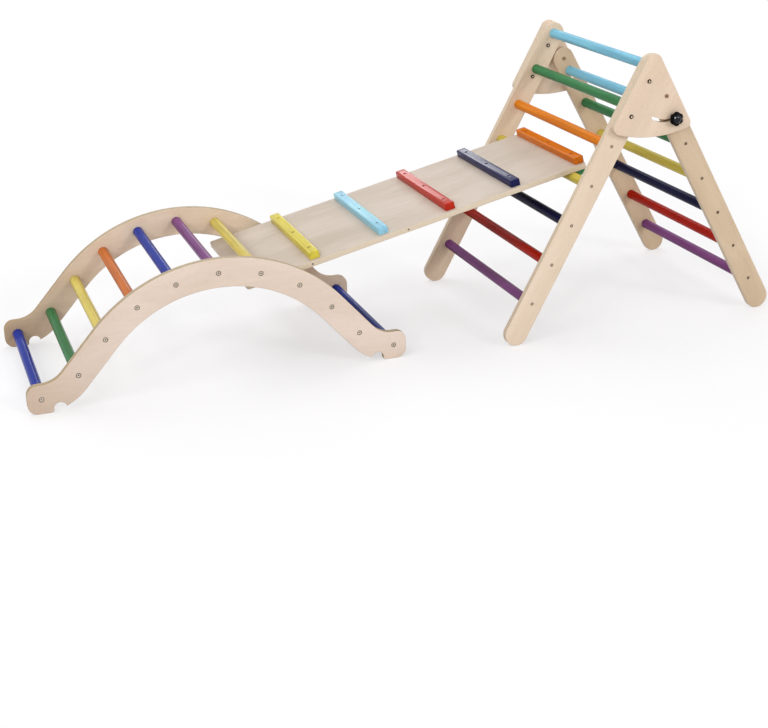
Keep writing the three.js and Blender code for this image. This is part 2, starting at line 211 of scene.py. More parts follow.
class Graph:
    """The node tree of a material or world, built by calls that return sockets."""

    def __init__(self, owner):
        owner.use_nodes = True
        self.owner = owner
        self.tree = owner.node_tree

    def set(self, node, inputs):
        """Links the sockets and copies the values to a node's inputs, by name or number."""
        for name, value in inputs.items():
            if isinstance(value, bpy.types.NodeSocket):
                self.tree.links.new(value, node.inputs[name])
            else:
                node.inputs[name].default_value = value

    def node(self, kind, inputs, **settings):
        node = self.tree.nodes.new(kind)
        for name, value in settings.items():
            setattr(node, name, value)
        self.set(node, inputs)
        return node

    def principled(self, inputs):
        self.set(self.tree.nodes["Principled BSDF"], inputs)
        return self.owner

    def attribute(self, name, output):
        return self.node("ShaderNodeAttribute", {}, attribute_name=name).outputs[output]

    def part(self, vector, axis):
        return self.node("ShaderNodeSeparateXYZ", {0: vector}).outputs[axis]

    def math(self, operation, first, second=0.0):
        node = self.node("ShaderNodeMath", {0: first, 1: second}, operation=operation)
        return node.outputs[0]

    def noise(self, vector, repeats, detail, roughness=0.5, distortion=0.0):
        """Noise over a vector, longer along the axes on which it repeats less often."""
        scaled = self.node("ShaderNodeVectorMath", {0: vector, 1: repeats}, operation="MULTIPLY")
        inputs = {"Vector": scaled.outputs[0], "Scale": 1.0, "Detail": detail,
                  "Roughness": roughness, "Distortion": distortion}
        return self.node("ShaderNodeTexNoise", inputs).outputs[0]

    def between(self, value, low, high, to_low=0.0, to_high=1.0):
        """A value's place between low and high, as the same place between to_low and to_high."""
        inputs = {"Value": value, "From Min": low, "From Max": high,
                  "To Min": to_low, "To Max": to_high}
        return self.node("ShaderNodeMapRange", inputs).outputs[0]

    def swing(self, noise, reach):
        """A noise that swings about zero, as far as reach."""
        return self.between(noise, *NOISE_SPAN, -reach, reach)

    def mix(self, share, first, second):
        inputs = {0: share, 6: first, 7: second}
        return self.node("ShaderNodeMix", inputs, data_type="RGBA").outputs[2]

    def bump(self, height, strength, distance):
        inputs = {"Height": height, "Strength": strength, "Distance": distance}
        return self.node("ShaderNodeBump", inputs).outputs[0]


# Materials

def birch_face(g, grain, streaks, fibres, light, dark):
    """Rotary-cut veneer: a broad figure with contour lines, streaks, fibres and a few flecks."""
    figure = g.noise(grain, *BIRCH_FIGURE)
    contours = g.math("SINE", g.math("MULTIPLY", figure, FIGURE_CONTOURS))
    tone = g.between(figure, *FIGURE_SPAN)
    tone = g.math("ADD", tone, g.math("MULTIPLY", contours, 0.08))
    tone = g.math("ADD", tone, g.swing(streaks, reach=0.15))
    tone = g.math("ADD", tone, g.swing(fibres, reach=0.10))
    flecks = g.between(g.noise(grain, *BIRCH_FLECKS), *FLECK_SPAN, to_high=0.30)
    return g.mix(flecks, g.mix(tone, light, dark), FLECKS)


def birch_edge(g, grain, fibres, light, dark, plies_per_metre):
    """The cut edge of the plies: each second one is seen across its fibres, with glue between."""
    ply = g.math("ADD", g.math("MULTIPLY", g.part(grain, 1), plies_per_metre), FIRST_PLY)
    ply = g.math("ADD", ply, g.swing(g.noise(grain, *PLY_WOBBLE), reach=0.12))
    from_middle = g.math("ABSOLUTE", g.math("SUBTRACT", g.math("FRACT", ply), 0.5))
    glue = g.between(from_middle, *GLUE_SPAN, to_high=0.45)
    crossed = g.math("GREATER_THAN", g.math("FRACT", g.math("MULTIPLY", ply, 0.5)), 0.5)
    cross_tone = g.between(fibres, *NOISE_SPAN, to_low=0.55, to_high=0.95)
    side = g.mix(g.math("MULTIPLY", crossed, cross_tone), light, dark)
    return g.mix(glue, side, GLUE_LINES)


def birch(name, face_tones, edge_tones, thickness, plies, painted_shade=0.0):
    """Clear-varnished birch plywood, with layered edges where the edge attribute is 1. The last
    argument is how far painted shade darkens the wood at the end of the set that the arch stands
    on, where the rails lie in shade."""
    g = Graph(bpy.data.materials.new(name))
    grain = g.attribute("grain", "Vector")
    streaks = g.noise(grain, *BIRCH_STREAKS)
    fibres = g.noise(grain, *BIRCH_FIBRES)
    face = birch_face(g, grain, streaks, fibres, *face_tones)
    edge = birch_edge(g, grain, fibres, *edge_tones, plies / thickness)
    colour = g.mix(g.between(g.attribute("edge", "Fac"), *EDGE_SPAN), face, edge)
    # Painted shade: the wood is mixed toward a dark tone at the arch's end of the set, where the
    # rails lie in shade
    if painted_shade:
        x = g.part(g.node("ShaderNodeTexCoord", {}).outputs["Object"], 0)
        share = g.between(x, *PAINTED_SHADE_REACH, to_low=painted_shade, to_high=0.0)
        colour = g.mix(share, colour, PAINTED_SHADE_TONE)
    height = g.math("ADD", fibres, g.math("MULTIPLY", streaks, 0.6))
    return g.principled({
        "Base Color": colour,
        "Roughness": g.between(streaks, *SHEEN_SPAN, to_low=0.46, to_high=0.60),
        "Normal": g.bump(height, strength=0.10, distance=0.15 * MM),
        "Specular IOR Level": 0.25,
    })


def paint(name, colour, specular):
    """Satin paint over solid wood: the grain shows faintly, and the coat varies in depth."""
    g = Graph(bpy.data.materials.new(name))
    grain = g.attribute("grain", "Vector")
    cloud = g.noise(grain, *PAINT_CLOUD)
    streaks = g.noise(grain, *PAINT_STREAKS)
    fibres = g.noise(grain, *PAINT_FIBRES)
    deep = shaded(colour, 0.66)
    pale = shaded(colour, 1.14, lift=0.003)
    body = g.mix(g.between(cloud, *NOISE_SPAN), pale, colour)
    body = g.mix(g.between(streaks, *PAINT_STREAK_SPAN, to_high=0.6), body, deep)
    body = g.mix(g.between(fibres, *PAINT_FIBRE_SPAN, to_high=0.45), body, deep)
    return g.principled({
        "Base Color": body,
        "Roughness": g.between(cloud, *NOISE_SPAN, to_low=0.16, to_high=0.22),
        "Normal": g.bump(fibres, strength=0.03, distance=0.06 * MM),
        "Specular IOR Level": specular,
    })


def steel(name, colour, recess, roughness=0.34):
    """Plated steel, dull in patches, and painted dark where the edge attribute is 1: painted shade
    in its recesses, in the gap about its head and on its socket's floor.
    """
    g = Graph(bpy.data.materials.new(name))
    patches = g.noise(g.attribute("grain", "Vector"), *STEEL_PATCHES)
    body = g.mix(g.between(patches, *STEEL_SPAN), colour, shaded(colour, 0.70))
    least, most = roughness - 0.06, roughness + 0.10
    return g.principled({
        # Painted shade: the recess colour is mixed in where the edge attribute is 1
        "Base Color": g.mix(g.attribute("edge", "Fac"), body, recess),
        "Metallic": 0.7,
        "Roughness": g.between(patches, *NOISE_SPAN, to_low=least, to_high=most),
        "Normal": g.bump(patches, strength=0.08, distance=0.05 * MM),
    })


def moulded(name, colour, cap_sheen_tone):
    """Moulded plastic with a faint orange peel, and a glossier cap where the edge attribute is 1,
    whose blue-black tone is a painted blue sheen."""
    g = Graph(bpy.data.materials.new(name))
    grain = g.attribute("grain", "Vector")
    cap = g.attribute("edge", "Fac")
    peel = g.noise(grain, *PLASTIC_PEEL)
    wear = g.noise(grain, *PLASTIC_WEAR)
    body = g.mix(g.between(wear, *WEAR_SPAN), colour, shaded(colour, 1.0, lift=0.003))
    return g.principled({
        # Painted sheen: the cap's colour is tinted blue
        "Base Color": g.mix(cap, body, cap_sheen_tone),
        "Roughness": g.between(wear, *NOISE_SPAN, to_low=0.04, to_high=0.08),
        "Normal": g.bump(peel, strength=0.03, distance=0.04 * MM),
        "Specular IOR Level": g.between(cap, *FULL_SPAN, to_low=0.04, to_high=0.25),
    })


EDGE_TONES = (srgb(230, 213, 190), srgb(206, 184, 156))
RAIL_EDGE_TONES = (srgb(192, 175, 146), srgb(160, 141, 112))
BOARD_EDGE_TONES = (srgb(234, 218, 196), srgb(216, 197, 170))
SIDE_THICKNESS = 18 * MM
SIDE_PLIES = 13
BOARD_PLIES = 11
RUNG_SPECULAR = 0.035
CLEAT_SPECULAR = 0.10


def side_birch(name, light, dark, edges=EDGE_TONES, painted_shade=0.0):
    """The plywood of rails, legs and gussets, by the two tones of its face."""
    face_tones = (srgb(*light), srgb(*dark))
    return birch(f"birch_{name}", face_tones, edges, SIDE_THICKNESS, SIDE_PLIES, painted_shade)


def painted(suffix, paints, specular):
    """A paint for each colour of a table."""
    return {name: paint(f"paint_{name}_{suffix}", tone, specular) for name, tone in paints.items()}


# Each rail's last value is how deep its painted shade gets at the arch's end of the set; the far
# rail lies deeper in shade and gets more
rail_birch = {
    "near": side_birch("near_rail", (238, 219, 205), (227, 206, 188), RAIL_EDGE_TONES, 0.38),
    "far": side_birch("far_rail", (238, 217, 196), (224, 200, 174), RAIL_EDGE_TONES, 0.62),
}
leg_birch = {
    ("front", "near"): side_birch("near_front_leg", (239, 218, 196), (229, 206, 181)),
    ("front", "far"): side_birch("far_front_leg", (238, 214, 188), (226, 201, 174)),
    ("rear", "near"): side_birch("near_rear_leg", (219, 196, 167), (206, 180, 150)),
    # The far rear leg's tones are a little darker than the near one's, as painted shade from the
    # gusset above it
    ("rear", "far"): side_birch("far_rear_leg", (219, 194, 163), (205, 178, 147)),
}
gusset_birch = side_birch("gussets", (237, 214, 191), (226, 201, 176))
board_birch = birch("birch_board", (srgb(209, 195, 182), srgb(191, 176, 160)), BOARD_EDGE_TONES,
                    BOARD_THICKNESS, BOARD_PLIES)
rung_paints = painted("rungs", PAINTS, RUNG_SPECULAR)
arch_paints = painted("arch_rungs", ARCH_PAINTS, RUNG_SPECULAR)
cleat_paints = painted("cleats", CLEAT_PAINTS, CLEAT_SPECULAR)
# Each steel's second colour is painted shade, for its recesses, the gap about its head and its
# socket
ring_shaded_steel = steel("plated_steel_with_painted_shade", srgb(226, 208, 182), srgb(32, 20, 10))
pivot_steel = steel("bronzed_steel", srgb(206, 172, 134), srgb(96, 64, 40))
screw_steel = steel("brown_plated_steel", srgb(216, 198, 174), srgb(76, 58, 42))
pale_steel = steel("pale_plated_steel", srgb(222, 210, 194), srgb(88, 72, 56))
cleat_steel = steel("black_plated_steel", srgb(96, 80, 66), srgb(24, 18, 14), roughness=0.4)
# The second colour is the cap's, a blue-black that is a painted blue sheen
black_plastic = moulded("black_knob_plastic", srgb(10, 6, 8), srgb(6, 6, 22))


# Outlines: lists of (x, z) points, counterclockwise

def arc(x, z, radius, start, end, steps):
    """Points about (x, z) from the angle start to the angle end."""
    return [Vector((x + radius * cos(start + (end - start) * i / steps),
                    z + radius * sin(start + (end - start) * i / steps))) for i in range(steps + 1)]


def circle(radius, x=0.0, z=0.0, sides=WELL_SIDES):
    return arc(x, z, radius, 0, 2 * pi, sides)[:-1]


def hexagon(across):
    """A hexagon by its width across the flats, with as many points as circle() gives."""
    points = []
    for i in range(WELL_SIDES):
        angle = 2 * pi * i / WELL_SIDES
        radius = across / 2 / cos((angle % (pi / 3)) - pi / 6)
        points.append(Vector((radius * cos(angle), radius * sin(angle))))
    return points


def rounded(corners, steps):
    """A closed outline through corners (x, z, radius), each rounded as far as its edges allow."""
    points = []
    for i, (x, z, radius) in enumerate(corners):
        here = Vector((x, z))
        back = Vector(corners[i - 1][:2]) - here
        ahead = Vector(corners[(i + 1) % len(corners)][:2]) - here
        half = acos(back.normalized().dot(ahead.normalized())) / 2
        reach = min(radius / tan(half), back.length, ahead.length)
        radius = reach * tan(half)
        start = here + back.normalized() * reach
        end = here + ahead.normalized() * reach
        inward = (back.normalized() + ahead.normalized()).normalized()
        middle = here + inward * (radius / sin(half))
        first = atan2(*reversed(start - middle))
        last = atan2(*reversed(end - middle))
        sweep = (last - first + pi) % (2 * pi) - pi
        points += arc(middle.x, middle.y, radius, first, first + sweep, steps)
    return points


def round_ended(reach, radius):
    """A bar from x = 0 to x = reach with a half round beyond each end."""
    return (arc(reach, 0, radius, -pi / 2, pi / 2, ROUND_STEPS)
            + arc(0, 0, radius, pi / 2, 3 * pi / 2, ROUND_STEPS))


def rectangle(length, width, corner):
    x, z = length / 2, width / 2
    corners = [(-x, -z, corner), (x, -z, corner), (x, z, corner), (-x, z, corner)]
    return rounded(corners, CORNER_STEPS)


def notch_under(foot, sole_radius, toe_x):
    """The notch in a foot's sole, from its lip on the toe's side, and the angle about the foot's
    centre at which it meets the sole again."""
    notch = Vector((toe_x - NOTCH_FROM_TOE, NOTCH_RISE))
    lip_z = NOTCH_LIP - NOTCH_RISE
    lip = Vector((((NOTCH_RADIUS + NOTCH_LIP) ** 2 - lip_z ** 2) ** 0.5, lip_z))
    enter = atan2(lip.y, lip.x)
    to_foot = foot - notch
    along = (NOTCH_RADIUS ** 2 - sole_radius ** 2 + to_foot.length ** 2) / (2 * to_foot.length)
    leave = atan2(to_foot.y, to_foot.x) + acos(along / NOTCH_RADIUS)
    meet = notch + NOTCH_RADIUS * Vector((cos(leave), sin(leave))) - foot
    outline = (arc(*(notch + lip), NOTCH_LIP, 3 * pi / 2, pi + enter, LIP_STEPS)
               + arc(*notch, NOTCH_RADIUS, enter, leave, NOTCH_STEPS))
    return outline, atan2(meet.y, meet.x) + 2 * pi


def arch_outline(height):
    """The rail: a crown arc, straight shoulders, flared feet with round toes and a notch each."""
    half = ARCH_BAND / 2
    up, down = pi / 2, 3 * pi / 2
    radii = ARCH_TOP_RADIUS + ARCH_FOOT_RADIUS
    drop = height - ARCH_BAND - radii * (1 - cos(ARCH_SHOULDER))
    foot_x = radii * sin(ARCH_SHOULDER) + drop / tan(ARCH_SHOULDER)
    crown_z = height - half - ARCH_TOP_RADIUS
    sole_radius = ARCH_FOOT_RADIUS + half
    foot = Vector((foot_x, sole_radius))
    toe_x = foot_x + ARCH_TOE
    corner_x = toe_x - ARCH_TOE_CORNER
    notch, meet = notch_under(foot, sole_radius, toe_x)
    side = (
        arc(0, crown_z, ARCH_TOP_RADIUS + half, up, up - ARCH_SHOULDER, ARCH_STEPS)
        + arc(*foot, ARCH_FOOT_RADIUS - half, down - ARCH_SHOULDER, down, FOOT_STEPS)
        + arc(corner_x, ARCH_BAND - ARCH_TOE_CORNER, ARCH_TOE_CORNER, up, 0, TOE_STEPS)
        + arc(corner_x, ARCH_TOE_CORNER, ARCH_TOE_CORNER, 0, -up, TOE_STEPS)
        + notch
        + arc(*foot, sole_radius, meet, down - ARCH_SHOULDER, FOOT_STEPS)
        + arc(0, crown_z, ARCH_TOP_RADIUS - half, up - ARCH_SHOULDER, up, ARCH_STEPS)
    )
    mirrored = [Vector((-p.x, p.y)) for p in reversed(side[1:-1])]
    return list(reversed(side + mirrored))


def gusset_outline(drop, offset):
    """One edge flush with the front leg, one with the opened rear leg, and a bowed foot."""
    edge_x = drop - LEG_RADIUS * sin(OPEN_ANGLE)
    edge_z = offset + LEG_RADIUS * cos(OPEN_ANGLE)
    run = (edge_z + LEG_RADIUS) / sin(OPEN_ANGLE)
    apex = Vector((edge_x - run * cos(OPEN_ANGLE), -LEG_RADIUS))
    low = Vector((GUSSET_DROP, -LEG_RADIUS))
    tip = Vector((edge_x + GUSSET_REACH * cos(OPEN_ANGLE), edge_z + GUSSET_REACH * sin(OPEN_ANGLE)))
    across = (tip - low).normalized()
    bow = (low + tip) / 2 + 2 * GUSSET_BOW * Vector((across.y, -across.x))
    corners = zip((apex, low, bow, tip), GUSSET_CORNERS)
    return rounded([(*point, radius) for point, radius in corners], ROUND_STEPS)


def slot_outline(drop, offset):
    """The clamp bolt's way about the pivot, from folded to open."""
    inner, outer = SLOT_RADIUS - SLOT_HALF_WIDTH, SLOT_RADIUS + SLOT_HALF_WIDTH
    opened = SLOT_FOLDED + OPEN_ANGLE

    def end(angle, start):
        x, z = drop + SLOT_RADIUS * cos(angle), offset + SLOT_RADIUS * sin(angle)
        return arc(x, z, SLOT_HALF_WIDTH, start, start + pi, SLOT_END_STEPS)[1:-1]

    return (arc(drop, offset, outer, SLOT_FOLDED, opened, ROUND_STEPS)
            + end(opened, opened)
            + arc(drop, offset, inner, opened, SLOT_FOLDED, ROUND_STEPS)
            + end(SLOT_FOLDED, SLOT_FOLDED + pi))


def without_repeats(loop, least=0.02 * MM):
    """A loop without the points that fall on the one before."""
    return [p for i, p in enumerate(loop) if (p - loop[i - 1]).length > least]


def moved_out(loop, distance):
    """A counterclockwise loop with each point moved outward by distance, mitred at corners."""
    result = []
    for i, here in enumerate(loop):
        before = (here - loop[i - 1]).normalized()
        after = (loop[(i + 1) % len(loop)] - here).normalized()
        first, second = Vector((before.y, -before.x)), Vector((after.y, -after.x))
        result.append(here + (first + second) * (distance / (1 + first.dot(second))))
    return result


# Meshes. Each is built about its own origin, with the fibre along x and the thickness along y, or
# turned about y. The edge attribute marks plywood's cut edges, the steel's painted shade and the
# knob's cap with its painted sheen.

class Body:
    """One closed mesh under construction, with the edge attribute of its points."""

    def __init__(self):
        self.mesh = bmesh.new()
        self.edge = self.mesh.verts.layers.float.new("edge")

    def ring(self, loop, y, edge=0.0):
        made = []
        for p in loop:
            vertex = self.mesh.verts.new((p.x, y, p.y))
            vertex[self.edge] = edge
            made.append(vertex)
        return made

    def bridge(self, first, second):
        for i in range(len(first)):
            face = self.mesh.faces.new((first[i - 1], first[i], second[i], second[i - 1]))
            face.smooth = True

    def stack(self, rings):
        for first, second in zip(rings, rings[1:]):
            self.bridge(first, second)

    def cap(self, rings):
        """A flat face inside the first ring and outside the others."""
        points = [v for ring in rings for v in ring]
        for triple in tessellate_polygon([[v.co for v in ring] for ring in rings]):
            self.mesh.faces.new([points[i] for i in triple])

    def close(self, ring):
        self.mesh.faces.new(ring)


def eased(ease, half, sign):
    """(inset, y, edge) down a rounded edge from a face at y = sign * half."""
    turns = [pi / 2 * i / EASE_STEPS for i in range(EASE_STEPS + 1)]
    return [(ease * (1 - sin(t)), sign * (half - ease * (1 - cos(t))), sin(t)) for t in turns]


def plate(outline, thickness, eases, holes=(), wells=()):
    """A flat piece with eased edges. Holes go through it, and each well (sign, x, z, steps) is a
    round recess in the face at that sign of y, by steps of (radius, depth)."""
    body = Body()
    half = thickness / 2
    rims = {1: [], -1: []}
    # An eased edge goes inward from the outline, and outward from a hole
    loops = [(without_repeats(outline), -1, eases)]
    loops += [(without_repeats(hole), 1, SLOT_EASES) for hole in holes]
    for loop, way, (front, back) in loops:
        profile = eased(front, half, 1) + eased(back, half, -1)[::-1]
        rings = [body.ring(moved_out(loop, way * inset), y, edge) for inset, y, edge in profile]
        body.stack(rings)
        rims[1].append(rings[0])
        rims[-1].append(rings[-1])
    for sign, x, z, steps in wells:
        rings = [body.ring(circle(radius, x, z), sign * (half - depth), float(depth > 0))
                 for radius, depth in steps]
        body.stack(rings)
        body.close(rings[-1])
        rims[sign].append(rings[0])
    body.cap(rims[1])
    body.cap(rims[-1])
    return body


def column(rings):
    """A piece about y through rings (loop, y, edge), flat at both ends."""
    body = Body()
    made = [body.ring(*ring) for ring in rings]
    body.stack(made)
    body.close(made[0])
    body.close(made[-1])
    return body


def turned(profile):
    """A round piece about y, by its (radius, y) profile from one flat end to the other."""
    return column([(circle(radius, sides=TURNED_SIDES), y) for radius, y in profile])


def in_metres(profile):
    """A profile that is given in millimetres."""
    return [(radius * MM, y * MM) for radius, y in profile]


# The rise from a shank's last ring to its head's first one, across the head's underside
UNDERSIDE = 0.01 * MM
HEAD_BEVEL = 0.12 * MM
SOCKET_BEVEL = 0.15 * MM
LAND_WIDTH = 0.1 * MM
# The round mouth of a hexagon socket and the land about it, as shares of the hexagon's width
MOUTH_SHARE = 0.6
LAND_SHARE = 0.66


def hex_bolt(radius, rise, depth, shank, socket, rim=1.0, bottom=1.0, land=0.0):
    """A bolt's end: a low head up to y = rise, over a shank down to y = -depth. socket is its
    hexagon's width, rim and bottom are how dark the head's outer ring and the socket's floor are
    painted, as painted shade of the gap about the head and of the socket's depth, and land is the
    least radius of the bright ring between them."""
    mouth = socket * MOUTH_SHARE
    land = max(land, socket * LAND_SHARE + LAND_WIDTH)
    return column([
        (circle(shank), -depth, 1),
        (circle(shank), -UNDERSIDE, 1),
        (circle(radius * 0.985), 0.0, rim),
        (circle(radius), HEAD_BEVEL, rim),
        (circle(radius), rise * 0.55, rim),
        (circle(radius * 0.96), rise * 0.8, rim),
        (circle(radius * 0.88), rise * 0.86, rim),
        (circle(land + HEAD_BEVEL), rise * 0.80, rim),
        (circle(land), rise * 0.96, 0),
        (circle((land + mouth) / 2), rise, 0),
        (circle(mouth), rise, 0),
        (hexagon(socket), rise - SOCKET_BEVEL, 0),
        (hexagon(socket), rise * 0.4, bottom),
    ])


# Pieces

seeds = count(1)
# How far apart two pieces with following seeds lie in the grain, along it and across it
SEED_STEP_X = 0.37
SEED_STEP_Z = 0.23
ACROSS = Vector((0, 1, 0))
FIBRE_ALONG_X = Matrix.Identity(3)
FIBRE_ALONG_Y = Matrix(((0, 1, 0), (1, 0, 0), (0, 0, 1)))


def piece(name, body, place, rides_on, material, replaced=None, fibre=FIBRE_ALONG_X):
    """Makes the finished object, its points in the row frame, riding on its CAD body."""
    bm = body.mesh
    bmesh.ops.recalc_face_normals(bm, faces=bm.faces)
    grain = bm.verts.layers.float_vector.new("grain")
    seed = next(seeds)
    away = Vector((SEED_STEP_X * seed, 0, SEED_STEP_Z * seed))
    for vertex in bm.verts:
        vertex[grain] = fibre @ vertex.co + away
    bm.transform(place)
    mesh = bpy.data.meshes.new(name)
    bm.to_mesh(mesh)
    bm.free()
    mesh.set_sharp_from_angle(angle=SHARP_ANGLE)
    mesh.materials.append(material)
    made = bpy.data.objects.new(name, mesh)
    bpy.context.scene.collection.objects.link(made)
    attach(made, rides_on)
    if replaced:
        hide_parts(replaced)


def placed(origin, along, across=ACROSS):
    """The matrix that puts a piece's origin at a point, its x along one direction and its y along
    another."""
    x = Vector(along).normalized()
    y = Vector(across).normalized()
    columns = (x, y, x.cross(y))
    turn = Matrix([[c[i] for c in columns] for i in range(3)])
    return Matrix.Translation(origin) @ turn.to_4x4()


def facing(origin, sign):
    """The matrix that puts a piece's origin at a point, and its y toward that side of the set."""
    return Matrix.Translation(origin) @ Matrix.Rotation(0 if sign > 0 else pi, 4, "X")


def centre(node):
    low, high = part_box(node)
    return (low + high) / 2


def numbered(prefix):
    """The nodes of a row, in order."""
    return sorted(name for name in frame["nodes"] if name.startswith(prefix))


def way_down(rungs):
    """The direction of a ladder, from its first rung to its last."""
    return (centre(rungs[-1]) - centre(rungs[0])).normalized()


def faces_of(node):
    """How far the inner and the outer face of a side piece are from the middle of the set."""
    low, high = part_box(node)
    return sorted((abs(low.y), abs(high.y)))


record_slots = {entry["node"]: entry["material_slot"] for entry in frame["record"]["subparts"]}


def paint_of(node, paints):
    return paints[record_slots[node].removeprefix("paint_")]


# Rungs

arch_rungs = numbered("arch_rung_")
front_rungs = numbered("front_rung_")
rear_rungs = numbered("rear_rung_")


def add_rung(node, rides_on, paints):
    """A dowel with chamfered ends."""
    low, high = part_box(node)
    half = (high.y - low.y) / 2
    rim = RUNG_RADIUS - RUNG_CHAMFER
    end = half - RUNG_CHAMFER
    profile = [(rim, -half), (RUNG_RADIUS, -end), (RUNG_RADIUS, -half / 2), (RUNG_RADIUS, 0.0),
               (RUNG_RADIUS, half / 2), (RUNG_RADIUS, end), (rim, half)]
    piece(f"{node}_dowel", turned(profile), Matrix.Translation(centre(node)), rides_on,
          paint_of(node, paints), node, FIBRE_ALONG_Y)


for rung in arch_rungs:
    add_rung(rung, "arch", arch_paints)
for rung in front_rungs:
    add_rung(rung, "front_ladder", rung_paints)
for rung in rear_rungs:
    add_rung(rung, "rear_ladder", rung_paints)


# Screws at the rungs' axes, and the wells and sockets cut for screws and rungs

SCREW_RISE = 2 * MM
# How far a screw's shank goes into the floor of its well
SCREW_BITE = 0.2 * MM
# A screw's shank radius and the width of its socket, as shares of its head's radius
SCREW_SHANK = 0.6
SCREW_SOCKET = 0.62
SCREW_WELL_DEPTH = 3 * MM
SCREW_GAP = 0.35 * MM
COUNTERSINK = 0.8 * MM
LEG_SCREW_RADIUS = 4.1 * MM
LEG_SCREW_SINK = 0.5 * MM
FRONT_SCREW_LAND = 2.8 * MM
RAIL_SCREW_RADIUS = 6.2 * MM
RAIL_SCREW_SINK = 1.3 * MM
RAIL_SCREW_LAND = 4.9 * MM


def screw_well(sign, x, z, radius):
    """A countersunk well for a screw head of that radius."""
    wall = radius + SCREW_GAP
    return (sign, x, z, ((wall + COUNTERSINK, 0), (wall, COUNTERSINK), (wall, SCREW_WELL_DEPTH)))


def rung_socket(sign, x, z):
    radius = RUNG_RADIUS + SOCKET_CLEARANCE
    return (sign, x, z, ((radius, 0), (radius, SOCKET_DEPTH)))


def add_screw(name, point, sign, radius, sink, land, rides_on, material):
    """A screw with a hexagon socket that faces outward, sunk in its well."""
    depth = SCREW_WELL_DEPTH - SCREW_RISE - sink + SCREW_BITE
    body = hex_bolt(radius, SCREW_RISE, depth, radius * SCREW_SHANK, radius * SCREW_SOCKET,
                    land=land)
    base = Vector(point) - Vector((0, sign * (SCREW_RISE + sink), 0))
    piece(name, body, facing(base, sign), rides_on, material)


# Arch rails

def add_rail(side, sign):
    """A rail, with a socket in its inner face and a screw in its outer one at each rung."""
    node = f"arch_rail_{side}"
    low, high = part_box(node)
    middle = Vector(((low.x + high.x) / 2, (low.y + high.y) / 2, 0))
    outer_y = sign * faces_of(node)[1]
    wells = []
    for i, rung in enumerate(arch_rungs, 1):
        at = centre(rung) - middle
        wells.append(rung_socket(-sign, at.x, at.z))
        wells.append(screw_well(sign, at.x, at.z, RAIL_SCREW_RADIUS))
        add_screw(f"arch_screw_{side}_{i:02d}", (at.x + middle.x, outer_y, at.z), sign,
                  RAIL_SCREW_RADIUS, RAIL_SCREW_SINK, RAIL_SCREW_LAND, "arch", pale_steel)
    rail = plate(arch_outline(high.z), high.y - low.y, PLY_EASES, wells=wells)
    piece(f"{node}_plywood", rail, placed(middle, (1, 0, 0)), "arch",
          rail_birch[side], node)


for side, sign in SIDES:
    add_rail(side, sign)


# Ladder legs

def add_legs(ladder, top, rungs, covered, land):
    """Both legs of a ladder. The gusset covers the legs at its first rungs, as many as covered, and
    they get no screws there. land is the least radius of the bright ring on the other screws."""
    down = way_down(rungs)
    for side, sign in SIDES:
        node = f"{ladder}_leg_{side}"
        low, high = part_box(node)
        reach = (top.z - low.z - LEG_RADIUS) / -down.z
        origin = Vector((top.x, (low.y + high.y) / 2, top.z))
        outer_y = sign * faces_of(node)[1]
        wells = []
        for i, rung in enumerate(rungs, 1):
            at = centre(rung)
            along = (at - Vector((top.x, 0, top.z))).length
            wells.append(rung_socket(-sign, along, 0.0))
            if i > covered:
                wells.append(screw_well(sign, along, 0.0, LEG_SCREW_RADIUS))
                add_screw(f"{ladder}_screw_{side}_{i}", (at.x, outer_y, at.z), sign,
                          LEG_SCREW_RADIUS, LEG_SCREW_SINK, land, f"{ladder}_ladder", screw_steel)
        leg = plate(round_ended(reach, LEG_RADIUS), high.y - low.y, PLY_EASES, wells=wells)
        piece(f"{node}_plywood", leg, placed(origin, down), f"{ladder}_ladder",
              leg_birch[ladder, side], node)


front_top = centre(front_rungs[0])
pivot = centre("pivot_bolt_near")
pivot.y = 0
add_legs("front", front_top, front_rungs, covered=2, land=FRONT_SCREW_LAND)
add_legs("rear", pivot, rear_rungs, covered=1, land=0.0)


# Gussets

front_down = way_down(front_rungs)
front_back = front_down.cross(ACROSS)
pivot_drop = (pivot - front_top).dot(front_down)
pivot_offset = (pivot - front_top).dot(front_back)


def add_gusset(side):
    node = f"gusset_{side}"
    low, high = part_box(node)
    origin = Vector((front_top.x, (low.y + high.y) / 2, front_top.z))
    gusset = plate(gusset_outline(pivot_drop, pivot_offset), high.y - low.y, PLY_EASES,
                   holes=[slot_outline(pivot_drop, pivot_offset)])
    piece(f"{node}_plywood", gusset, placed(origin, front_down), "front_ladder",
          gusset_birch, node)


for side, _ in SIDES:
    add_gusset(side)


# Pivot bolts and gusset bolts

BOLT_RISE = 2.4 * MM
BOLT_SOCKET = 3.9 * MM
BOLT_SHANK_RADIUS = 3.5 * MM
# How far short of the bolt's middle each end of its shank stops
BOLT_SPLIT = 0.2 * MM
# A head's radius, and how dark its outer ring and its socket's floor are painted, as painted shade
PIVOT_HEAD = (5.4 * MM, 0.7, 1.0)
GUSSET_HEAD = (5.7 * MM, 1.0, 0.0)


def add_bolt(node, head, material):
    """Both heads of a bolt with its shank between them, in the room that its CAD node takes."""
    radius, rim, bottom = head
    at = centre(node)
    sign = 1 if at.y > 0 else -1
    inner, outer = faces_of(node)
    depth = (outer - inner - 2 * BOLT_RISE) / 2 - BOLT_SPLIT
    ends = (("outer", outer - BOLT_RISE, sign, node), ("inner", inner + BOLT_RISE, -sign, None))
    for end, y, way, replaced in ends:
        body = hex_bolt(radius, BOLT_RISE, depth, BOLT_SHANK_RADIUS, BOLT_SOCKET, rim, bottom)
        piece(f"{node}_{end}", body, facing((at.x, sign * y, at.z), way), "front_ladder",
              material, replaced)


for side, _ in SIDES:
    add_bolt(f"pivot_bolt_{side}", PIVOT_HEAD, pivot_steel)
    for i in (1, 2):
        add_bolt(f"gusset_bolt_{side}_{i}", GUSSET_HEAD, ring_shaded_steel)


# Clamp bolts and their knobs

KNOB_LOBES = 6
KNOB_SIDES = 144
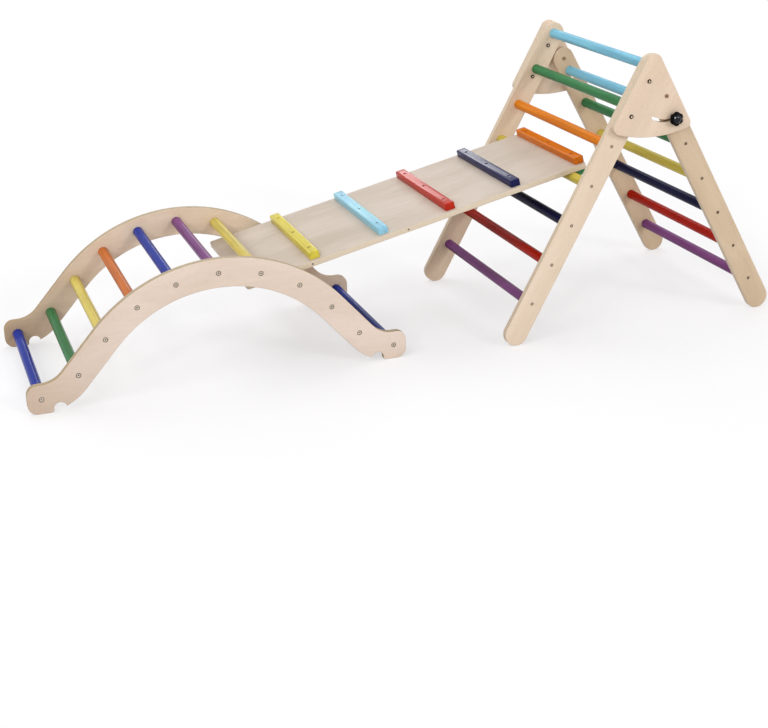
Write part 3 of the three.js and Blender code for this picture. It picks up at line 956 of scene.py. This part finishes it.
# Rings of the knob from its hub to its dome, in millimetres: radius in the valleys, what a lobe
# adds to it, and height
KNOB_RINGS = (
    (9.2, 0, 0), (10, 0, 0.8), (10, 0, 6.2), (12.4, 1.6, 6.9), (14.8, 2.9, 7.4), (16.1, 3.3, 8.8),
    (16.2, 3.4, 10.4), (16.2, 3.4, 13.2), (15.7, 3.3, 14.8), (14.6, 2.8, 15.8), (13.2, 1.9, 16.3),
    (12.5, 0.9, 16.5), (12.1, 0.2, 16.6), (11.95, 0, 16.95), (11.7, 0, 17.25), (11.3, 0, 17.6),
    (9.4, 0, 19.16), (7.9, 0, 20.39), (7.6, 0, 20.58), (7.2, 0, 20.78), (5.9, 0, 21.34),
    (4.9, 0, 21.77), (4.4, 0, 21.9), (3.4, 0, 21.96), (1.8, 0, 21.99), (0.6, 0, 22),
)
KNOB_CAP_BASE = 17
KNOB_FACETS = 14
KNOB_FACET = 2 * pi / KNOB_FACETS
KNOB_FACET_TURN = radians(5.9)
LOBE_TURN = pi / 2
# Below 1 it widens the lobes and narrows the valleys
LOBE_ROUNDING = 0.8

# The clamp bolt's flat round head from its rim to its middle, in millimetres: radius and height
CLAMP_HEAD = ((7.7, 0), (8, 0.3), (8, 1.4), (7.2, 2.2), (5.2, 2.9), (2.6, 3.15), (0.4, 3.2))
CLAMP_HEAD_HEIGHT = 3.2 * MM


def knob_loop(valley, lobe, on_cap):
    """A ring of the knob, with lobes, or with the cap's faint facets."""
    loop = []
    for i in range(KNOB_SIDES):
        angle = 2 * pi * i / KNOB_SIDES
        swell = abs(cos(KNOB_LOBES / 2 * (angle - LOBE_TURN))) ** LOBE_ROUNDING
        radius = (valley + lobe * swell) * MM
        if on_cap:
            radius /= cos((angle - KNOB_FACET_TURN + KNOB_FACET / 2) % KNOB_FACET - KNOB_FACET / 2)
        loop.append(Vector((radius * cos(angle), radius * sin(angle))))
    return loop


def knob_body():
    """A star of rounded lobes under a domed cap."""
    rings = []
    for valley, lobe, y in KNOB_RINGS:
        on_cap = y > KNOB_CAP_BASE
        rings.append((knob_loop(valley, lobe, on_cap), y * MM, float(on_cap)))
    return column(rings)


def add_knob(side, sign):
    node = f"knob_{side}"
    at = centre(node)
    at.y = sign * faces_of(node)[0]
    piece(f"{node}_star", knob_body(), facing(at, sign), node, black_plastic, node)


def add_clamp_bolt(side, sign):
    """A bolt with its head on the leg's inner face and its shank out to the knob."""
    node = f"clamp_bolt_{side}"
    inner, outer = faces_of(node)
    at = centre(node)
    at.y = sign * (inner + CLAMP_HEAD_HEIGHT)
    shank = [(BOLT_SHANK_RADIUS, inner + CLAMP_HEAD_HEIGHT - outer),
             (BOLT_SHANK_RADIUS, -UNDERSIDE)]
    bolt = turned(shank + in_metres(CLAMP_HEAD))
    piece(f"{node}_steel", bolt, facing(at, -sign), "rear_ladder", ring_shaded_steel, node)


for side, sign in SIDES:
    add_knob(side, sign)
    add_clamp_bolt(side, sign)


# Board: it hooks on the front ladder's fourth rung and rests on the arch's eighth

hook_rung = centre(front_rungs[3])
rest_rung = centre(arch_rungs[7])
uphill = (hook_rung - rest_rung).normalized()
board_up = Vector((-uphill.z, 0, uphill.x))
# From the two rungs' axes to the board's middle plane, and from the hook rung's to the board's end
board_lift = board_up * (RUNG_RADIUS + SEAT_GAP + BOARD_THICKNESS / 2)
board_end = RUNG_RADIUS + SEAT_GAP + CLEAT_WIDTH
board_low, board_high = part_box("ramp_board")


def add_board():
    middle = hook_rung + uphill * (board_end - BOARD_LENGTH / 2) + board_lift
    outline = rectangle(BOARD_LENGTH, board_high.y - board_low.y, BOARD_CORNER)
    board = plate(outline, BOARD_THICKNESS, BOARD_EASES)
    piece("ramp_board_plywood", board, placed(middle, uphill, board_up), "ramp",
          board_birch, "ramp_board")


# The pins in the board's near edge: their places along it from the rung that it hooks on, and
# their profile from within the board outward, in millimetres: radius and height over the edge
PIN_PLACES = (-765.8 * MM, -492 * MM)
PIN_PROFILE = ((2.4, -4), (2.4, 0.05), (1.68, 0.2))


def add_pin(i, along):
    at = hook_rung + uphill * along + board_lift
    at.y = board_low.y
    piece(f"ramp_edge_pin_{i}", turned(in_metres(PIN_PROFILE)), facing(at, -1), "ramp",
          cleat_steel)


add_board()
for i, along in enumerate(PIN_PLACES, 1):
    add_pin(i, along)


# Cleats

CLEAT_SCREW_PLACES = (-145 * MM, 0.0, 145 * MM)
CLEAT_SCREW_RADIUS = 3.6 * MM
CLEAT_SCREW_RISE = 1.6 * MM
CLEAT_SCREW_SHANK = 1.6 * MM
CLEAT_SCREW_SHANK_LENGTH = 0.3 * MM
CLEAT_SCREW_SOCKET = 2.6 * MM
# How far the head's underside is above the well's floor
CLEAT_SCREW_LIFT = 0.4 * MM


def add_cleat(node, top):
    """A bar with eased upper edges and three countersunk screws. top is the way out of its top."""
    wells = [screw_well(1, x, 0.0, CLEAT_SCREW_RADIUS) for x in CLEAT_SCREW_PLACES]
    outline = rectangle(CLEAT_LENGTH, CLEAT_WIDTH, CLEAT_CORNER)
    bar = plate(outline, CLEAT_HEIGHT, CLEAT_EASES, wells=wells)
    place = placed(centre(node), ACROSS, top)
    piece(f"{node}_bar", bar, place, "ramp", paint_of(node, cleat_paints), node)
    under_head = CLEAT_HEIGHT / 2 - SCREW_WELL_DEPTH + CLEAT_SCREW_LIFT
    for i, x in enumerate(CLEAT_SCREW_PLACES, 1):
        head = hex_bolt(CLEAT_SCREW_RADIUS, CLEAT_SCREW_RISE, CLEAT_SCREW_SHANK_LENGTH,
                        CLEAT_SCREW_SHANK, CLEAT_SCREW_SOCKET)
        sunk = place @ Matrix.Translation((x, under_head, 0))
        piece(f"{node}_screw_{i}", head, sunk, "ramp", cleat_steel)


for node in numbered("ramp_cleat_"):
    add_cleat(node, board_up)
add_cleat("ramp_hook_cleat", -board_up)


# Floor, light and camera

FLOOR_REACH = 30.0
FLOOR_COLOUR = (0.99, 0.975, 1.0, 1.0)
FLOOR_BOUNCE = (0.70, 0.70, 0.71, 1.0)
FLOOR_GLOW = 0.56
AMBIENT = 0.36
# Each sun's azimuth, elevation and spread in degrees, and its strength
SUNS = {
    "key": (-62, 45, 30, 0.80),
    "overhead": (188, 58, 60, 1.12),
    "back": (165, 20, 10, 0.10),
    "fill": (42, 12, 40, 0.60),
    "catch_left": (-40, 25, 10, 0.52),
    "catch_right": (27, 27, 10, 0.46),
}


def seen_directly(g):
    """1 for what is seen, by itself, in a gloss or through glass, and 0 for the light it gives."""
    rays = g.node("ShaderNodeLightPath", {})
    direct = g.math("MAXIMUM", rays.outputs["Is Camera Ray"], rays.outputs["Is Glossy Ray"])
    return g.math("MAXIMUM", direct, rays.outputs["Is Transmission Ray"])


def add_floor():
    """A white floor. Where it is seen, about half of it is plain white light, so that its shadows
    stay pale, and it is darker for the light that it bounces up."""
    mesh = bpy.data.meshes.new("floor")
    corners = ((-1, -1), (1, -1), (1, 1), (-1, 1))
    mesh.from_pydata([(x * FLOOR_REACH, y * FLOOR_REACH, 0) for x, y in corners], [],
                     [(0, 1, 2, 3)])
    floor = bpy.data.objects.new("floor", mesh)
    bpy.context.scene.collection.objects.link(floor)
    g = Graph(bpy.data.materials.new("floor"))
    seen = seen_directly(g)
    colour = g.mix(seen, FLOOR_BOUNCE, FLOOR_COLOUR)
    g.principled({"Base Color": colour, "Roughness": 0.9, "Specular IOR Level": 0.1})
    lit = g.tree.nodes["Principled BSDF"].outputs[0]
    glow = g.node("ShaderNodeEmission", {"Color": WHITE, "Strength": 1.0}).outputs[0]
    share = g.math("MULTIPLY", seen, FLOOR_GLOW)
    mixed = g.node("ShaderNodeMixShader", {0: share, 1: lit, 2: glow}).outputs[0]
    g.set(g.tree.nodes["Material Output"], {"Surface": mixed})
    mesh.materials.append(g.owner)


def add_world():
    """Even white light all round, and plain white where the backdrop is seen."""
    world = bpy.data.worlds.new("studio")
    bpy.context.scene.world = world
    g = Graph(world)
    strength = g.between(seen_directly(g), *FULL_SPAN, to_low=AMBIENT, to_high=1.0)
    g.set(g.tree.nodes["Background"], {"Color": WHITE, "Strength": strength})


def add_sun(name, azimuth, elevation, spread, strength):
    """A soft distant light, from the side that azimuth gives: 0 is the front, 90 the right."""
    light = bpy.data.lights.new(name, "SUN")
    light.energy = strength
    light.angle = radians(spread)
    turn, rise = radians(azimuth), radians(elevation)
    toward = Vector((sin(turn) * cos(rise), -cos(turn) * cos(rise), sin(rise)))
    lamp = bpy.data.objects.new(name, light)
    lamp.rotation_euler = toward.to_track_quat("Z", "Y").to_euler()
    bpy.context.scene.collection.objects.link(lamp)


def add_camera():
    """The camera fitted to the photograph."""
    turn, rise, roll = map(radians, (VIEW_AZIMUTH, VIEW_ELEVATION, VIEW_ROLL))
    forward = Vector((sin(turn) * cos(rise), cos(turn) * cos(rise), -sin(rise)))
    level = Vector((cos(turn), -sin(turn), 0))
    upward = level.cross(forward)
    right = level * cos(roll) + upward * sin(roll)
    up = upward * cos(roll) - level * sin(roll)
    data = bpy.data.cameras.new("camera")
    data.sensor_width = SENSOR_WIDTH
    data.sensor_fit = "HORIZONTAL"
    data.lens = FOCAL_LENGTH_PX / IMAGE_WIDTH * SENSOR_WIDTH
    data.shift_y = (OPTICAL_AXIS_ROW - IMAGE_HEIGHT / 2) / IMAGE_WIDTH
    data.clip_end = VIEW_REACH
    camera = bpy.data.objects.new("camera", data)
    axes = Matrix([[right[i], up[i], -forward[i]] for i in range(3)]).to_4x4()
    camera.matrix_world = Matrix.Translation(VIEW_TARGET - forward * VIEW_DISTANCE) @ axes
    bpy.context.scene.collection.objects.link(camera)
    bpy.context.scene.camera = camera


add_floor()
add_world()
for name, light in SUNS.items():
    add_sun(name, *light)
add_camera()
bpy.context.scene.view_settings.view_transform = "Standard"
